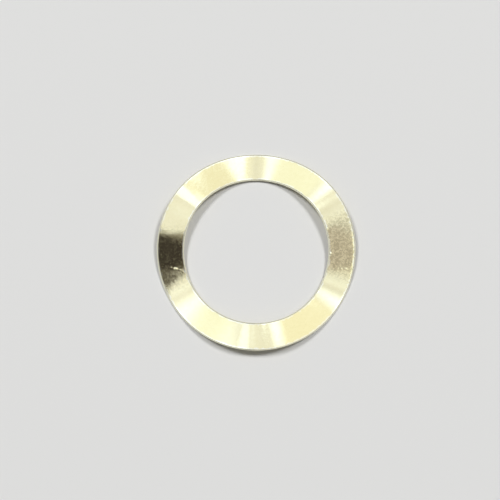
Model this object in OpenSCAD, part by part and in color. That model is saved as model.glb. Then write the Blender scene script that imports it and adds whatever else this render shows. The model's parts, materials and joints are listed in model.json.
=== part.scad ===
// Wave washer: a flat ring stamped from spring strip and bent into even waves.
// The strip bends without stretching, so every wave is a piece of a cone: it grows with the
// distance from the axis. The washer rests on the rim of its valleys.
// The origin is on the axis of the bore, in the plane that it rests on, with +Z up the axis.

/* [Ring] */
// Outside diameter
outer_d = 22; // [19.5:0.1:28]
// Diameter of the bore
bore_d = 16; // [12:0.1:18.5]
// Thickness of the strip, square to its surface
strip_t = 0.3; // [0.22:0.01:0.5]
// Radius that rounds the edges of the strip
edge_r = 0.1; // [0.03:0.01:0.13]

/* [Waves] */
// Number of waves round the ring
waves = 3; // [2:1:6]
// Height of the unloaded washer, from the plane it rests on to the tops of its crests
free_h = 1.8; // [0.8:0.05:2.6]
// Direction of one crest, anticlockwise from +X
crest_angle = 30; // [0:5:120]

/* [Facets] */
// Facets along one wave: an even number, so that one lies flat along every crest and valley
wave_facets = 40; // [24:2:60]
// Facets round one edge of the strip
edge_facets = 3; // [2:1:4]

/* [Hidden] */

strip_color = "#efe3b2";

// Segments of the true circles where they are drawn
circle_fn = 240;

// How far the cylinders that trim the rims pass the top and bottom of the washer
pass = 1;

// The share of each facet's rim that the cylinders trim true
true_share = 0.7;

// Facets round the whole ring, and half the angle that one spans
facets = waves * wave_facets;
half_angle = 180 / facets;

// Slope of a crest, straight out from the axis. The rounding starts at crest_r, which is the
// highest place on a crest, and the facets along the crests reach the full height there.
crest_r = outer_d / 2 - edge_r;
crest_slope = (free_h - strip_t) / 2 / crest_r / cos(waves * half_angle);

// Slope of the strip straight out from the axis at an angle, and its slope round the axis there
function slope_out(angle) = crest_slope * cos(waves * (angle - crest_angle));
function slope_round(angle) = -waves * crest_slope * sin(waves * (angle - crest_angle));

// Corner radius of a ring of facets that crosses a circle at a share of each half angle
function corner_radius(circle_r, share) = circle_r * cos(share * half_angle) / cos(half_angle);

// The quarter circle that rounds one edge, as [distance from the axis, height above mid-strip]
function edge_points(centre, start) = [
    for (i = [0:edge_facets])
        let (angle = start + 90 * i / edge_facets)
            centre + edge_r * [cos(angle), sin(angle)]
];

// Where a point of the section goes when it is carried round to an angle. The strip keeps its
// thickness square to its slope, so it measures more straight up by the secant of the slope.
function carried(point, angle) = [
    point.x * cos(angle),
    point.x * sin(angle),
    free_h / 2 + point.x * slope_out(angle)
        + point.y * norm([1, slope_out(angle), slope_round(angle)])
];

// The rounded section of the strip, swept round the axis as it rises and falls
module wavy_strip(inner_r, outer_r) {
    side = strip_t / 2 - edge_r;
    section = [
        each edge_points([outer_r - edge_r, side], 0),
        each edge_points([inner_r + edge_r, side], 90),
        each edge_points([inner_r + edge_r, -side], 180),
        each edge_points([outer_r - edge_r, -side], 270)
    ];
    count = len(section);
    points = [
        for (i = [0:facets - 1])
            let (angle = crest_angle + (2 * i + 1) * half_angle)
                for (point = section) carried(point, angle)
    ];
    faces = [
        for (i = [0:facets - 1], k = [0:count - 1])
            let (next_i = (i + 1) % facets, next_k = (k + 1) % count)
                [count * i + k, count * i + next_k, count * next_i + next_k, count * next_i + k]
    ];
    polyhedron(points, faces);
}

// A cylinder on the axis that trims a rim true
module true_cylinder(diameter) {
    translate([0, 0, -pass])
        cylinder(h = free_h + 2 * pass, d = diameter, $fn = circle_fn);
}

// The faceted rims cross the true circles once on each side of every facet's middle,
// so the cylinders leave a piece of true wall on each facet that follows the wave.
module washer() {
    color(strip_color)
        difference() {
            intersection() {
                wavy_strip(
                    corner_radius(bore_d / 2, true_share),
                    corner_radius(outer_d / 2, 1 - true_share)
                );
                true_cylinder(outer_d);
            }
            true_cylinder(bore_d);
        }
}

washer();
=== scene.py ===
import json
import logging
import math
from dataclasses import dataclass
from enum import Enum
from typing import Any, Iterable

import bmesh
import bpy
from mathutils import Matrix, Vector


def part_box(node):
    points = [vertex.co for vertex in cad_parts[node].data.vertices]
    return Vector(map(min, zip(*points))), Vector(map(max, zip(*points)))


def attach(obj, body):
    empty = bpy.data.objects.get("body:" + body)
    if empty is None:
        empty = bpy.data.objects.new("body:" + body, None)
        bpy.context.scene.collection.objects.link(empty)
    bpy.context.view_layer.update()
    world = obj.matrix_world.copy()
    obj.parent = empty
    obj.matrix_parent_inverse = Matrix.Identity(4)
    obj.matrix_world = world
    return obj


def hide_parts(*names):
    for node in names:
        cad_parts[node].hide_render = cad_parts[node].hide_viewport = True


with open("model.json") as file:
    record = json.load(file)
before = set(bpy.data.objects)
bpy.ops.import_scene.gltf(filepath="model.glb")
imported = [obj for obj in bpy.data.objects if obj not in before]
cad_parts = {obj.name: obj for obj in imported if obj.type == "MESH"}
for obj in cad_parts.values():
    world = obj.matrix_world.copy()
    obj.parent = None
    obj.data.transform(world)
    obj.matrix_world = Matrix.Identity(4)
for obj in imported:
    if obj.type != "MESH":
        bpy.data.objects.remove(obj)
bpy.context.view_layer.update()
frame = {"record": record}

MM = 0.001
# The lean of the horizon, in degrees down from straight up
HORIZON = 90.0
# The values that nearly all of a noise pattern lies between
NOISE_RANGE = (0.3, 0.7)
# The middle of a pattern once it is stretched from 0 to 1
PATTERN_MIDDLE = 0.5
# Where a Mix node keeps the sockets that it uses for colours
MIX_SHARE = 0
MIX_FIRST = 6
MIX_SECOND = 7
MIX_RESULT = 2
LOG = logging.getLogger("wave_washer")

Colour = tuple[float, float, float]


class Value:
    """What a socket gives. Sums, differences and products of numbers add their own Math nodes."""

    def __init__(self, shader: "Shader", socket: bpy.types.NodeSocket) -> None:
        """Keeps the socket.

        Args:
            shader: The shader that new nodes go into.
            socket: The output socket to read.
        """
        self.shader = shader
        self.socket = socket

    def _with(self, operation: str, *numbers: Any) -> "Value":
        """Adds one Math node.

        Args:
            operation: The Math node's operation.
            numbers: Its inputs in order, each a Value or a plain number.

        Returns:
            The node's result.
        """
        inputs = dict(enumerate(numbers))
        return self.shader.node("ShaderNodeMath", {"operation": operation}, inputs, "Value")

    def __add__(self, other: Any) -> "Value":
        """Gives self + other."""
        return self._with("ADD", self, other)

    def __radd__(self, other: Any) -> "Value":
        """Gives other + self."""
        return self._with("ADD", other, self)

    def __sub__(self, other: Any) -> "Value":
        """Gives self - other."""
        return self._with("SUBTRACT", self, other)

    def __rsub__(self, other: Any) -> "Value":
        """Gives other - self."""
        return self._with("SUBTRACT", other, self)

    def __mul__(self, other: Any) -> "Value":
        """Gives self * other."""
        return self._with("MULTIPLY", self, other)

    def __rmul__(self, other: Any) -> "Value":
        """Gives other * self."""
        return self._with("MULTIPLY", other, self)

    def __abs__(self) -> "Value":
        """Gives the size of self without its sign."""
        return self._with("ABSOLUTE", self)

    def ramp(self, start: Any, end: Any) -> "Value":
        """Rises smoothly from 0 to 1.

        Args:
            start: Where the rise starts.
            end: Where it ends.

        Returns:
            0 below start, 1 above end, and a smooth step between.
        """
        settings = {"interpolation_type": "SMOOTHSTEP"}
        inputs = {"Value": self, "From Min": start, "From Max": end}
        return self.shader.node("ShaderNodeMapRange", settings, inputs, "Result")


class Shader:
    """The node tree of one material or of the surroundings."""

    def __init__(self, tree: bpy.types.NodeTree) -> None:
        """Empties the tree.

        Args:
            tree: The node tree to fill.
        """
        self.tree = tree
        self.tree.nodes.clear()

    def node(
        self, kind: str, settings: dict[str, Any], inputs: dict[Any, Any], output: Any = 0
    ) -> Value:
        """Adds one node.

        Args:
            kind: The node's type.
            settings: Its properties, set before its sockets.
            inputs: A value or a link for each input socket, by name or by place.
            output: The output socket to read, by name or by place.

        Returns:
            The output socket, ready for expressions. A node that has none gives its first input.
        """
        made = self.tree.nodes.new(kind)
        for name, setting in settings.items():
            setattr(made, name, setting)
        for key, given in inputs.items():
            socket = made.inputs[key]
            if isinstance(given, Value):
                self.tree.links.new(given.socket, socket)
            else:
                socket.default_value = given
        return Value(self, made.outputs[output] if made.outputs else made.inputs[0])

    def mix(self, share: Any, first: Any, second: Any) -> Value:
        """Mixes two colours.

        Args:
            share: How much of the second colour shows, from 0 to 1.
            first: The first colour, a Value or a colour.
            second: The second colour, a Value or a colour.

        Returns:
            The mixed colour.
        """
        settings = {"data_type": "RGBA", "clamp_factor": True}
        inputs = {MIX_SHARE: share, MIX_FIRST: opaque(first), MIX_SECOND: opaque(second)}
        return self.node("ShaderNodeMix", settings, inputs, MIX_RESULT)

    def vector(self, operation: str, inputs: dict[Any, Any], output: str = "Vector") -> Value:
        """Adds one Vector Math node.

        Args:
            operation: The node's operation.
            inputs: Its inputs by place.
            output: The output socket to read.

        Returns:
            The node's result.
        """
        return self.node("ShaderNodeVectorMath", {"operation": operation}, inputs, output)

    def parts(self, vector: Value) -> tuple[Value, Value, Value]:
        """Splits a vector.

        Args:
            vector: The vector to split.

        Returns:
            Its x, y and z.
        """
        split = self.node("ShaderNodeSeparateXYZ", {}, {0: vector}).socket.node
        return tuple(Value(self, socket) for socket in split.outputs)

    def levelled(self, place: Value) -> Value:
        """Gives the same place at height zero."""
        return self.vector("MULTIPLY", {0: place, 1: (1.0, 1.0, 0.0)})

    def blotches(self, place: Value, grain: float, detail: float, twist: float = 0.0) -> Value:
        """Adds a noise pattern and stretches it to its full range.

        Args:
            place: The coordinates that it reads, in metres.
            grain: The size of its blotches, in metres.
            detail: How many finer layers it has.
            twist: How far its blotches are drawn out into curls.

        Returns:
            The pattern, from 0 to 1.
        """
        inputs = {"Vector": place, "Scale": 1 / grain, "Detail": detail, "Distortion": twist}
        return self.node("ShaderNodeTexNoise", {}, inputs).ramp(*NOISE_RANGE)

    def dress(self, inputs: dict[str, Any]) -> None:
        """Ends a material in one surface.

        Args:
            inputs: A value or a link for each socket of the surface that is used.
        """
        surface = self.node("ShaderNodeBsdfPrincipled", {}, inputs, "BSDF")
        self.node("ShaderNodeOutputMaterial", {}, {"Surface": surface})


def opaque(colour: Any) -> Any:
    """Gives a plain colour the fourth number that a socket needs, and leaves a Value as it is."""
    return colour if isinstance(colour, Value) else (*colour, 1.0)


def heading(bearing: float, lean: float) -> Vector:
    """Finds a direction in the studio.

    Args:
        bearing: Degrees anticlockwise from +X, seen from above.
        lean: Degrees down from straight up.

    Returns:
        The direction, one long.
    """
    turn, tip = math.radians(bearing), math.radians(lean)
    return Vector((math.cos(turn) * math.sin(tip), math.sin(turn) * math.sin(tip), math.cos(tip)))


def new_material(name: str) -> tuple[bpy.types.Material, Shader]:
    """Starts a material.

    Args:
        name: Its name.

    Returns:
        The material and its empty shader.
    """
    material = bpy.data.materials.new(name)
    material.use_nodes = True
    return material, Shader(material.node_tree)


def placed(name: str, data: bpy.types.ID) -> bpy.types.Object:
    """Adds an object to the scene.

    Args:
        name: Its name.
        data: Its mesh, lamp or camera.

    Returns:
        The object, at the origin.
    """
    thing = bpy.data.objects.new(name, data)
    bpy.context.scene.collection.objects.link(thing)
    return thing


def finished(mesh: bmesh.types.BMesh, name: str, material: bpy.types.Material) -> bpy.types.Object:
    """Makes an object of a mesh.

    Args:
        mesh: The mesh, which is used up.
        name: The object's name.
        material: Its material.

    Returns:
        The object, at the origin.
    """
    data = bpy.data.meshes.new(name)
    mesh.to_mesh(data)
    mesh.free()
    data.materials.append(material)
    return placed(name, data)


@dataclass(frozen=True)
class BrightStrip:
    """Pale gold strip, bright rolled, with light handling wear, and edges that are paler partly from wear
    and partly as a painted highlight.

    Tints are how far a pattern shows in the colour, and hazes how much it adds to the roughness.
    """

    metal: Colour = (0.955, 0.88, 0.548)
    deep_metal: Colour = (0.91, 0.83, 0.485)
    # Paler edge colour: partly burnishing wear, partly a painted highlight along the rim lines
    burnish_and_highlight: Colour = (0.98, 0.95, 0.76)
    # Paler wall colour: partly the cut of the shear, partly a painted highlight along the rim lines
    shear_and_highlight: Colour = (0.95, 0.90, 0.68)
    scuffed: Colour = (0.655, 0.595, 0.352)
    polish: float = 0.035
    cloud: float = 3.5 * MM
    cloud_layers: float = 2.0
    cloud_tint: float = 0.35
    cloud_haze: float = 0.01
    mottle: float = 0.42 * MM
    mottle_layers: float = 1.5
    mottle_tint: float = 0.3
    mottle_haze: float = 0.01
    ripple_height: float = 0.0004 * MM
    scuff_bearing: float = 3.0
    scuff_half: float = 14.0
    scuff_fade: float = 12.0
    scuff: float = 0.27 * MM
    scuff_layers: float = 0.5
    scuff_twist: float = 0.9
    scuff_tint: float = 0.86
    scuff_haze: float = 0.042
    rolling_bearing: float = 52.0
    roll_line: float = 0.05 * MM
    roll_layers: float = 2.0
    roll_length: float = 1.4 * MM
    line_haze: float = 0.015
    line_height: float = 0.00005 * MM
    edge_band: float = 0.3 * MM
    # How far the edge band takes the paler edge colour, which is partly wear and partly a painted
    # highlight
    edge_burnish_and_highlight: float = 0.85
    edge_haze: float = 0.05
    # How far the walls take their paler colour, which is partly a painted highlight
    wall_shear_and_highlight: float = 0.4
    wall_haze: float = 0.2
    wall_starts: float = 0.5

    def made(self, bore_r: float, rim_r: float) -> bpy.types.Material:
        """Makes the finish for a ring.

        Args:
            bore_r: Radius of the ring's bore.
            rim_r: Radius of its rim.

        Returns:
            The material.
        """
        material, shader = new_material("bright_strip")
        place = shader.node("ShaderNodeTexCoord", {}, {}, "Object")
        clouds = shader.blotches(place, self.cloud, self.cloud_layers)
        mottle = shader.blotches(place, self.mottle, self.mottle_layers)
        scuffs = shader.blotches(place, self.scuff, self.scuff_layers, self.scuff_twist)
        rolled = self._along_the_rolling(shader, place)
        lines = shader.blotches(rolled, self.roll_line, self.roll_layers)
        edge_wear_and_highlight, wall = self._edges(shader, place, mottle, bore_r, rim_r)

        deep = clouds * self.cloud_tint + mottle * self.mottle_tint
        colour = shader.mix(deep, self.metal, self.deep_metal)
        handled = self._handled(shader, place) * scuffs * self.scuff_tint
        colour = shader.mix(handled, colour, self.scuffed)
        # Paler edges and walls: partly wear and the cut of the shear, partly a painted highlight on the
        # rim lines
        colour = shader.mix(edge_wear_and_highlight * self.edge_burnish_and_highlight, colour, self.burnish_and_highlight)
        # The walls take a paler colour that is partly a painted highlight
        colour = shader.mix(wall * self.wall_shear_and_highlight, colour, self.shear_and_highlight)

        haze = self.polish + clouds * self.cloud_haze + mottle * self.mottle_haze + lines * self.line_haze
        clean = 1 - scuffs
        haze = haze + clean * clean * self.scuff_haze + edge_wear_and_highlight * self.edge_haze + wall * self.wall_haze

        # The heights are in metres, so the bump takes them as they are
        height = mottle * self.ripple_height + lines * self.line_height
        inputs = {"Strength": 1.0, "Distance": 1.0, "Height": height}
        bump = shader.node("ShaderNodeBump", {}, inputs, "Normal")
        shader.dress({"Base Color": colour, "Metallic": 1.0, "Roughness": haze, "Normal": bump})
        return material

    def _handled(self, shader: Shader, place: Value) -> Value:
        """Finds the stretch of the ring that handling has scuffed.

        Args:
            shader: The shader that new nodes go into.
            place: The coordinates on the washer.

        Returns:
            1 on the stretch and 0 away from it.
        """
        outward = shader.vector("NORMALIZE", {0: shader.levelled(place)})
        towards = tuple(heading(self.scuff_bearing, HORIZON))
        near = shader.vector("DOT_PRODUCT", {0: outward, 1: towards}, "Value")
        starts = math.cos(math.radians(self.scuff_half + self.scuff_fade))
        full = math.cos(math.radians(self.scuff_half))
        return near.ramp(starts, full)

    def _along_the_rolling(self, shader: Shader, place: Value) -> Value:
        """Stretches a pattern along the direction that the strip was rolled in.

        Args:
            shader: The shader that new nodes go into.
            place: The coordinates to stretch.

        Returns:
            The stretched coordinates.
        """
        inputs = {
            "Vector": place,
            "Rotation": (0.0, 0.0, math.radians(self.rolling_bearing)),
            "Scale": (self.roll_length / self.roll_line, 1.0, 1.0),
        }
        return shader.node("ShaderNodeMapping", {"vector_type": "TEXTURE"}, inputs, "Vector")

    def _edges(
        self, shader: Shader, place: Value, mottle: Value, bore_r: float, rim_r: float
    ) -> tuple[Value, Value]:
        """Finds the band along the edges that takes wear and a painted highlight, and where the walls
        are, which take a paler colour that is partly a painted highlight.

        Args:
            shader: The shader that new nodes go into.
            place: The coordinates on the washer.
            mottle: The pattern that makes the edge bands uneven.
            bore_r: Radius of the ring's bore.
            rim_r: Radius of its rim.

        Returns:
            How much of the edge band's wear and painted highlight it takes, and how much it is a wall,
            each from 0 to 1.
        """
        _, _, up = shader.parts(shader.node("ShaderNodeNewGeometry", {}, {}, "Normal"))
        out = shader.vector("LENGTH", {0: shader.levelled(place)}, "Value")
        middle = (bore_r + rim_r) / 2
        half = (rim_r - bore_r) / 2
        from_edge = half - abs(out - middle)
        uneven = from_edge + (mottle - PATTERN_MIDDLE) * (self.edge_band / 2)
        # The band takes the edge wear and the painted highlight of the rim lines
        edge_wear_and_highlight = 1 - uneven.ramp(self.edge_band / 2, self.edge_band)
        return edge_wear_and_highlight, 1 - abs(up).ramp(0.0, self.wall_starts)


@dataclass(frozen=True)
class PaleCard:
    """Plain pale card that the washer lies on."""

    colour: Colour = (0.74, 0.74, 0.73)
    roughness: float = 0.75

    def made(self) -> bpy.types.Material:
        """Makes the card's material."""
        material, shader = new_material("pale_card")
        shader.dress({"Base Color": opaque(self.colour), "Roughness": self.roughness})
        return material


class Blemish(Enum):
    """What a knock left on the strip: metal pushed in or metal raised."""

    DENT = -1
    BURR = 1


@dataclass(frozen=True)
class Knock:
    """One small mark on the upper side of the strip. Its length runs outward, or turned from there."""

    kind: Blemish
    bearing: float
    radius: float
    length: float
    width: float
    depth: float
    turn: float = 0.0

    def lift(self, spot: Vector) -> float:
        """Finds how far the mark moves the surface.

        Args:
            spot: A point of the surface, before the waves are pressed.

        Returns:
            The rise there, which is below zero in a dent.
        """
        angle = math.radians(self.bearing)
        away = spot.xy - self.radius * Vector((math.cos(angle), math.sin(angle)))
        lay = angle + math.radians(self.turn)
        along = Vector((math.cos(lay), math.sin(lay)))
        across = Vector((-along.y, along.x))
        reach = math.hypot(away.dot(along) / (self.length / 2), away.dot(across) / (self.width / 2))
        if reach >= 1:
            return 0.0
        return self.kind.value * self.depth * ((1 + math.cos(math.pi * reach)) / 2)


@dataclass
class WaveWasher:
    """The ring of spring strip, bent into even waves.

    The rolls are how far in the upper side is drawn down, wider on one side where the die was shifted.
    """

    bore_r: float
    rim_r: float
    free_height: float
    strip: float = 0.3 * MM
    edge_r: float = 0.1 * MM
    waves: int = 3
    crest_bearing: float = 30.0
    rim_roll: float = 0.22 * MM
    die_shift: float = 0.11 * MM
    bore_roll: float = 0.11 * MM
    roll_drop: float = 0.016 * MM
    steps: int = 1200
    top_cells: int = 40
    under_cells: int = 8
    edge_segments: int = 5
    tolerance: float = 0.001 * MM
    finish: BrightStrip = BrightStrip()
    knocks: tuple[Knock, ...] = (
        Knock(Blemish.BURR, 192.4, 9.13 * MM, 0.56 * MM, 0.22 * MM, 0.045 * MM, -25.0),
        Knock(Blemish.BURR, 191.2, 9.6 * MM, 0.3 * MM, 0.2 * MM, 0.008 * MM, -25.0),
        Knock(Blemish.BURR, 194.2, 8.72 * MM, 0.3 * MM, 0.2 * MM, 0.005 * MM, -40.0),
        Knock(Blemish.BURR, 195.9, 8.42 * MM, 0.26 * MM, 0.2 * MM, 0.005 * MM, -20.0),
        Knock(Blemish.BURR, 348.7, 10.05 * MM, 0.5 * MM, 0.22 * MM, 0.012 * MM),
        Knock(Blemish.BURR, 348.2, 9.6 * MM, 0.24 * MM, 0.2 * MM, 0.01 * MM),
        Knock(Blemish.BURR, 347.7, 9.25 * MM, 0.2 * MM, 0.2 * MM, 0.006 * MM),
        Knock(Blemish.BURR, 358.2, 8.16 * MM, 0.34 * MM, 0.26 * MM, 0.04 * MM),
        Knock(Blemish.DENT, 356.7, 8.12 * MM, 0.3 * MM, 0.14 * MM, 0.03 * MM),
        Knock(Blemish.BURR, 17.3, 8.15 * MM, 0.22 * MM, 0.46 * MM, 0.04 * MM),
    )

    @property
    def crest_slope(self) -> float:
        """Slope of a crest straight out from the axis. It is highest where the rim starts to round."""
        return (self.free_height - self.strip) / 2 / (self.rim_r - self.edge_r)

    def build(self) -> bpy.types.Object:
        """Builds and dresses the washer.

        Returns:
            The finished piece.
        """
        mesh = bmesh.new()
        self._cut_section(mesh)
        self._sweep(mesh)
        self._round_edges(mesh)
        self._roll_over(mesh)
        self._knock(mesh)
        self._bend(mesh)
        bmesh.ops.recalc_face_normals(mesh, faces=mesh.faces)
        piece = finished(mesh, "wave_washer", self.finish.made(self.bore_r, self.rim_r))
        piece.data.shade_smooth()
        return piece

    def _cut_section(self, mesh: bmesh.types.BMesh) -> None:
        """Draws the outline of the strip's section, standing beside the axis.

        Args:
            mesh: The empty mesh to draw in.
        """
        half = self.strip / 2
        places = ((self.bore_r, -half), (self.rim_r, -half), (self.rim_r, half), (self.bore_r, half))
        corners = [mesh.verts.new((out, 0.0, up)) for out, up in places]
        ends = zip(corners, corners[1:] + corners[:1])
        under, _, top, _ = [mesh.edges.new(pair) for pair in ends]
        bmesh.ops.subdivide_edges(mesh, edges=[under], cuts=self.under_cells - 1)
        bmesh.ops.subdivide_edges(mesh, edges=[top], cuts=self.top_cells - 1)

    def _sweep(self, mesh: bmesh.types.BMesh) -> None:
        """Sweeps the section round the axis.

        Args:
            mesh: The mesh that holds the section.
        """
        bmesh.ops.spin(
            mesh,
            geom=mesh.verts[:] + mesh.edges[:],
            cent=(0.0, 0.0, 0.0),
            axis=(0.0, 0.0, 1.0),
            angle=math.tau,
            steps=self.steps,
            use_merge=True,
        )
        bmesh.ops.recalc_face_normals(mesh, faces=mesh.faces)

    def _round_edges(self, mesh: bmesh.types.BMesh) -> None:
        """Rounds the four edges that run round the ring.

        Args:
            mesh: The swept ring.
        """
        corners = [edge for edge in mesh.edges if self._runs_round(*(vert.co for vert in edge.verts))]
        bmesh.ops.bevel(
            mesh,
            geom=corners,
            offset=self.edge_r,
            offset_type="OFFSET",
            affect="EDGES",
            segments=self.edge_segments,
            profile=0.5,
            material=-1,
        )

    def _runs_round(self, first: Vector, second: Vector) -> bool:
        """Says whether a mesh edge runs round the ring along one of the section's four corners.

        Args:
            first: One end.
            second: The other end.

        Returns:
            True where it does.
        """
        same_height = abs(first.z - second.z) < self.tolerance
        same_radius = abs(first.xy.length - second.xy.length) < self.tolerance
        return same_height and same_radius and self._at_corner(first) and self._at_corner(second)

    def _at_corner(self, spot: Vector) -> bool:
        """Says whether a point lies on one of the section's four corners.

        Args:
            spot: The point.

        Returns:
            True on a corner.
        """
        out = spot.xy.length
        on_side = min(abs(out - self.bore_r), abs(out - self.rim_r)) < self.tolerance
        return on_side and abs(abs(spot.z) - self.strip / 2) < self.tolerance

    def _roll_over(self, mesh: bmesh.types.BMesh) -> None:
        """Draws the upper side down a little towards its edges, as a die that sat off centre did.

        Args:
            mesh: The flat ring with its edges rounded.
        """
        for vert in mesh.verts:
            out = vert.co.xy.length
            rim_roll = self.rim_roll + self.die_shift * vert.co.x / out
            near_rim = max(0.0, 1 - (self.rim_r - out) / rim_roll)
            near_bore = max(0.0, 1 - (out - self.bore_r) / self.bore_roll)
            # From 0 on the underside to 1 on the upper side
            share = vert.co.z / self.strip + 0.5
            vert.co.z -= self.roll_drop * share * (near_rim**2 + near_bore**2)

    def _knock(self, mesh: bmesh.types.BMesh) -> None:
        """Puts the small handling marks on the upper side.

        Args:
            mesh: The flat ring with its edges rounded.
        """
        for vert in mesh.verts:
            if vert.co.z > 0:
                vert.co.z += sum(knock.lift(vert.co) for knock in self.knocks)

    def _bend(self, mesh: bmesh.types.BMesh) -> None:
        """Bends the waves. They grow with the distance from the axis, because the strip can't stretch.

        Args:
            mesh: The flat ring. Its thickness stays square to its slope.
        """
        for vert in mesh.verts:
            out = vert.co.xy.length
            phase = self.waves * (math.atan2(vert.co.y, vert.co.x) - math.radians(self.crest_bearing))
            slope_out = self.crest_slope * math.cos(phase)
            slope_round = self.waves * self.crest_slope * math.sin(phase)
            middle = self.free_height / 2 + out * slope_out
            vert.co.z = middle + vert.co.z * math.hypot(1.0, slope_out, slope_round)


@dataclass
class Table:
    """The pale card under the washer."""

    radius: float = 0.6
    sides: int = 96
    finish: PaleCard = PaleCard()

    def build(self) -> bpy.types.Object:
        """Builds the card.

        Returns:
            The card, which is part of the studio.
        """
        mesh = bmesh.new()
        bmesh.ops.create_circle(mesh, cap_ends=True, segments=self.sides, radius=self.radius)
        return finished(mesh, "table_card", self.finish.made())


@dataclass(frozen=True)
class Patch:
    """A round soft patch in the roof of the tent, lighter or darker than the cloth round it.

    Its spread is in degrees, and its core is the share of that which has the full strength.
    """

    bearing: float
    lean: float
    spread: float
    core: float
    strength: float


@dataclass(frozen=True)
class Edge:
    """A straight edge in the roof of the tent. It faces a bearing, and lies at a reach from overhead."""

    bearing: float
    reach: float
    soft: float

    def inside(self, right: Value, ahead: Value) -> Value:
        """Finds which directions lie behind the edge.

        Args:
            right: The part of the direction along +X.
            ahead: The part of the direction along +Y.

        Returns:
            1 behind the edge and 0 in front of it.
        """
        facing = math.radians(self.bearing)
        out = right * math.cos(facing) + ahead * math.sin(facing)
        return 1 - out.ramp(self.reach - self.soft, self.reach + self.soft)


@dataclass(frozen=True)
class Card:
    """A flat card with straight edges that hangs beside the camera."""

    colour: Colour
    edges: tuple[Edge, ...]

    def cover(self, right: Value, ahead: Value) -> Value:
        """Finds which directions the card covers.

        Args:
            right: The part of the direction along +X.
            ahead: The part of the direction along +Y.

        Returns:
            1 on the card and 0 beside it.
        """
        shown = self.edges[0].inside(right, ahead)
        for edge in self.edges[1:]:
            shown = shown * edge.inside(right, ahead)
        return shown


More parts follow.
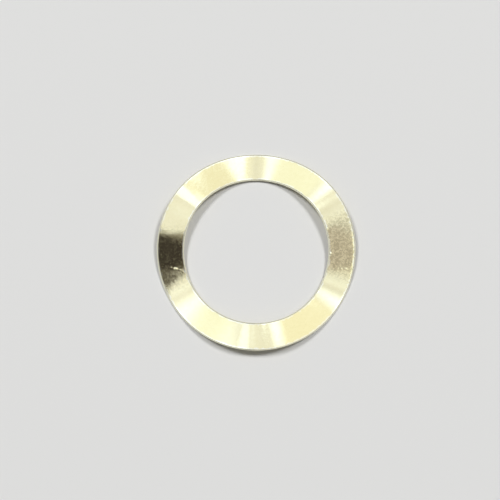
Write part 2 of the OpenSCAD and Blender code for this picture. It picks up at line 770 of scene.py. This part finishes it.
@dataclass(frozen=True)
class Surround:
    """What stands round the washer: a tent of even light, soft lamps behind its cloth, and flat cards.

    Only mirrored rays see the tent. The room's level lights everything else, and the camera sees the
    backdrop. The cloth darkens towards the walls, and the cards fade out low on the near side.

    The colours of the tent, the hood and the lamps and most of the patches are rounded results of a
    program that fitted them to the photo's colours. The cards' colours began as such results. Their
    edges and the other patches were placed at computed directions of reflection and adjusted.
    """

    room: Colour = (0.17, 0.17, 0.17)
    backdrop: Colour = (0.72, 0.72, 0.71)
    left_tent: Colour = (1.04, 1.107, 1.15)
    right_tent: Colour = (1.01, 1.017, 0.97)
    tent_width: float = 0.8
    walls: Colour = (0.45, 0.45, 0.47)
    walls_from: float = 0.05
    walls_to: float = 0.8
    hood: Colour = (0.93, 0.965, 1.07)
    hood_patch: Patch = Patch(135.0, 4.0, 21.0, 0.8, 1.0)
    lamp_light: Colour = (1.65, 1.9, 2.35)
    lamp_patches: tuple[Patch, ...] = (
        Patch(115.0, 19.0, 5.3, 0.1, 0.68),
        Patch(108.5, 25.5, 5.7, 0.45, 0.5),
        Patch(69.5, 28.0, 7.2, 0.78, 0.67),
        Patch(66.3, 15.9, 4.5, 0.68, 0.58),
        Patch(162.5, 20.0, 9.7, 0.0, 0.8),
        Patch(137.0, 12.0, 4.8, 0.6, 0.43),
        Patch(44.0, 20.0, 5.5, 0.4, 0.65),
        Patch(3.0, 16.0, 7.6, 0.0, 1.0),
        Patch(103.0, 11.0, 3.7, 0.0, 0.14),
        Patch(316.0, 10.8, 4.5, 0.3, 0.12),
        Patch(192.0, 9.0, 5.0, 0.0, 0.15),
        Patch(45.0, 2.5, 6.0, 0.2, 0.06),
        Patch(314.0, 21.0, 8.0, 0.4, 0.16),
    )
    shade: Colour = (0.3, 0.3, 0.35)
    shade_patches: tuple[Patch, ...] = (
        Patch(291.0, 9.0, 8.0, 0.0, 0.22),
        Patch(351.0, 10.0, 5.3, 0.0, 0.17),
        Patch(139.0, 5.0, 7.6, 0.0, 0.17),
        Patch(89.0, 20.5, 4.0, 0.0, 0.12),
        Patch(53.0, 28.4, 6.5, 0.6, 0.08),
        Patch(200.0, 33.0, 22.0, 0.5, 0.7),
        Patch(60.0, 11.4, 3.8, 0.1, 0.05),
    )
    cards_fade: float = 0.32
    cards_end: float = 1.1
    cards: tuple[Card, ...] = (
        Card(
            (0.585, 0.554, 0.595),
            (Edge(180.0, -0.01, 0.01), Edge(100.0, -0.128, 0.04), Edge(21.4, 0.014, 0.01)),
        ),
        Card(
            (0.118, 0.109, 0.11),
            (Edge(35.9, -0.177, 0.008), Edge(0.0, -0.088, 0.004), Edge(180.0, 0.2, 0.01)),
        ),
        Card(
            (0.25, 0.235, 0.225),
            (Edge(35.9, -0.216, 0.02), Edge(349.0, -0.045, 0.004), Edge(180.0, 0.092, 0.004)),
        ),
        Card(
            (0.19, 0.177, 0.165),
            (Edge(141.6, -0.0705, 0.012), Edge(180.0, 0.092, 0.004), Edge(0.0, -0.02, 0.01)),
        ),
        Card(
            (0.043, 0.038, 0.038),
            (Edge(156.5, -0.0075, 0.006), Edge(31.0, -0.184, 0.008), Edge(0.0, -0.02, 0.01)),
        ),
    )

    def build(self) -> bpy.types.World:
        """Makes the surroundings the scene's world.

        Returns:
            The world.
        """
        world = bpy.data.worlds.new("light_tent")
        world.use_nodes = True
        shader = Shader(world.node_tree)
        looked = shader.node("ShaderNodeTexCoord", {}, {}, "Generated")
        right, ahead, up = shader.parts(looked)
        side = right.ramp(-self.tent_width / 2, self.tent_width / 2)
        tent = shader.mix(side, self.left_tent, self.right_tent)
        tent = shader.mix(up.ramp(self.walls_from, self.walls_to), self.walls, tent)
        tent = self._patched(shader, looked, tent, (self.hood_patch,), self.hood)
        tent = self._patched(shader, looked, tent, self.shade_patches, self.shade)
        tent = self._patched(shader, looked, tent, self.lamp_patches, self.lamp_light)
        fade = ahead.ramp(-self.cards_end, -self.cards_fade)
        for card in self.cards:
            tent = shader.mix(card.cover(right, ahead) * fade, tent, card.colour)

        mirrored = shader.node("ShaderNodeLightPath", {}, {}, "Is Glossy Ray")
        light = shader.mix(mirrored, self.room, tent)
        seen = shader.node("ShaderNodeLightPath", {}, {}, "Is Camera Ray")
        light = shader.mix(seen, light, self.backdrop)
        inputs = {"Color": light, "Strength": 1.0}
        background = shader.node("ShaderNodeBackground", {}, inputs, "Background")
        shader.node("ShaderNodeOutputWorld", {}, {"Surface": background})
        bpy.context.scene.world = world
        return world

    def _patched(
        self, shader: Shader, looked: Value, tent: Value, patches: tuple[Patch, ...], colour: Colour
    ) -> Value:
        """Lays soft patches of one colour on the tent.

        Args:
            shader: The shader that new nodes go into.
            looked: The direction looked in.
            tent: The tent's colour so far.
            patches: The patches.
            colour: Their colour.

        Returns:
            The tent with its patches.
        """
        for patch in patches:
            towards = tuple(heading(patch.bearing, patch.lean))
            away = shader.vector("DISTANCE", {0: looked, 1: towards}, "Value")
            spread = math.radians(patch.spread)
            share = (1 - away.ramp(patch.core * spread, spread)) * patch.strength
            tent = shader.mix(share, tent, colour)
        return tent


@dataclass(frozen=True)
class SoftLamp:
    """A round soft lamp above the washer. It gives the shadows, and the metal doesn't mirror it."""

    name: str
    bearing: float
    lean: float = 27.0
    distance: float = 2.0
    diameter: float = 0.45
    level: float = 0.415

    def build(self, target: Vector) -> bpy.types.Object:
        """Hangs the lamp and aims it.

        Args:
            target: The point that it lights.

        Returns:
            The lamp.
        """
        towards = heading(self.bearing, self.lean)
        data = bpy.data.lights.new(self.name, "AREA")
        data.shape = "DISK"
        data.size = self.diameter
        # A white card that lies flat at the target comes out as bright as the level
        data.energy = self.level * math.pi**2 * self.distance**2 / towards.z
        lamp = placed(self.name, data)
        lamp.location = target + towards * self.distance
        lamp.rotation_euler = towards.to_track_quat("Z", "Y").to_euler()
        lamp.visible_glossy = False
        lamp.visible_camera = False
        return lamp


@dataclass(frozen=True)
class CloseCamera:
    """The camera, held over the washer and a little towards its near side.

    Its distance, lean and aim are rounded results of a program that fitted them to the photo.
    """

    lens: float = 70.0
    film: float = 36.0
    distance: float = 107.6 * MM
    bearing: float = 270.0
    lean: float = 7.0
    aim_right: float = -0.69 * MM
    aim_ahead: float = 0.09 * MM
    nearest: float = 1 * MM
    farthest: float = 10.0

    def build(self, centre: Vector) -> bpy.types.Object:
        """Makes the camera the scene's camera.

        Args:
            centre: The middle of the washer.

        Returns:
            The camera.
        """
        data = bpy.data.cameras.new("close_camera")
        data.lens = self.lens
        data.sensor_width = self.film
        data.clip_start = self.nearest
        data.clip_end = self.farthest
        camera = placed("close_camera", data)
        aim = centre + Vector((self.aim_right, self.aim_ahead, 0.0))
        back = heading(self.bearing, self.lean)
        # The view's upward edge lies as near to +Y as it can
        upright = (Vector((0.0, 1.0, 0.0)) - back * back.y).normalized()
        across = upright.cross(back)
        turn = Matrix((across, upright, back)).transposed().to_4x4()
        camera.matrix_world = Matrix.Translation(aim + back * self.distance) @ turn
        bpy.context.scene.camera = camera
        return camera


def mount_radius(name: str) -> float:
    """Reads a round mount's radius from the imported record.

    Args:
        name: The mount's name.

    Returns:
        The radius, in metres.
    """
    mounts = {mount["name"]: mount for mount in frame["record"]["mounts"]}
    return mounts[name]["dims"]["r_mm"] * MM


def main() -> None:
    """Builds the studio and the washer."""
    logging.basicConfig(level=logging.INFO, format="%(name)s: %(message)s")
    bpy.context.scene.view_settings.view_transform = "Standard"
    low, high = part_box("washer")
    centre = (low + high) / 2

    CloseCamera().build(centre)
    Surround().build()
    for lamp in (SoftLamp("left_lamp", bearing=135.0), SoftLamp("right_lamp", bearing=40.0)):
        lamp.build(centre)
    Table().build()

    bore_r, rim_r = mount_radius("bore"), mount_radius("rim")
    piece = WaveWasher(bore_r, rim_r, free_height=high.z - low.z).build()
    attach(piece, "root")
    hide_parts("washer")
    LOG.info("%s: %d faces", piece.name, len(piece.data.polygons))


if __name__ == "__main__":
    main()
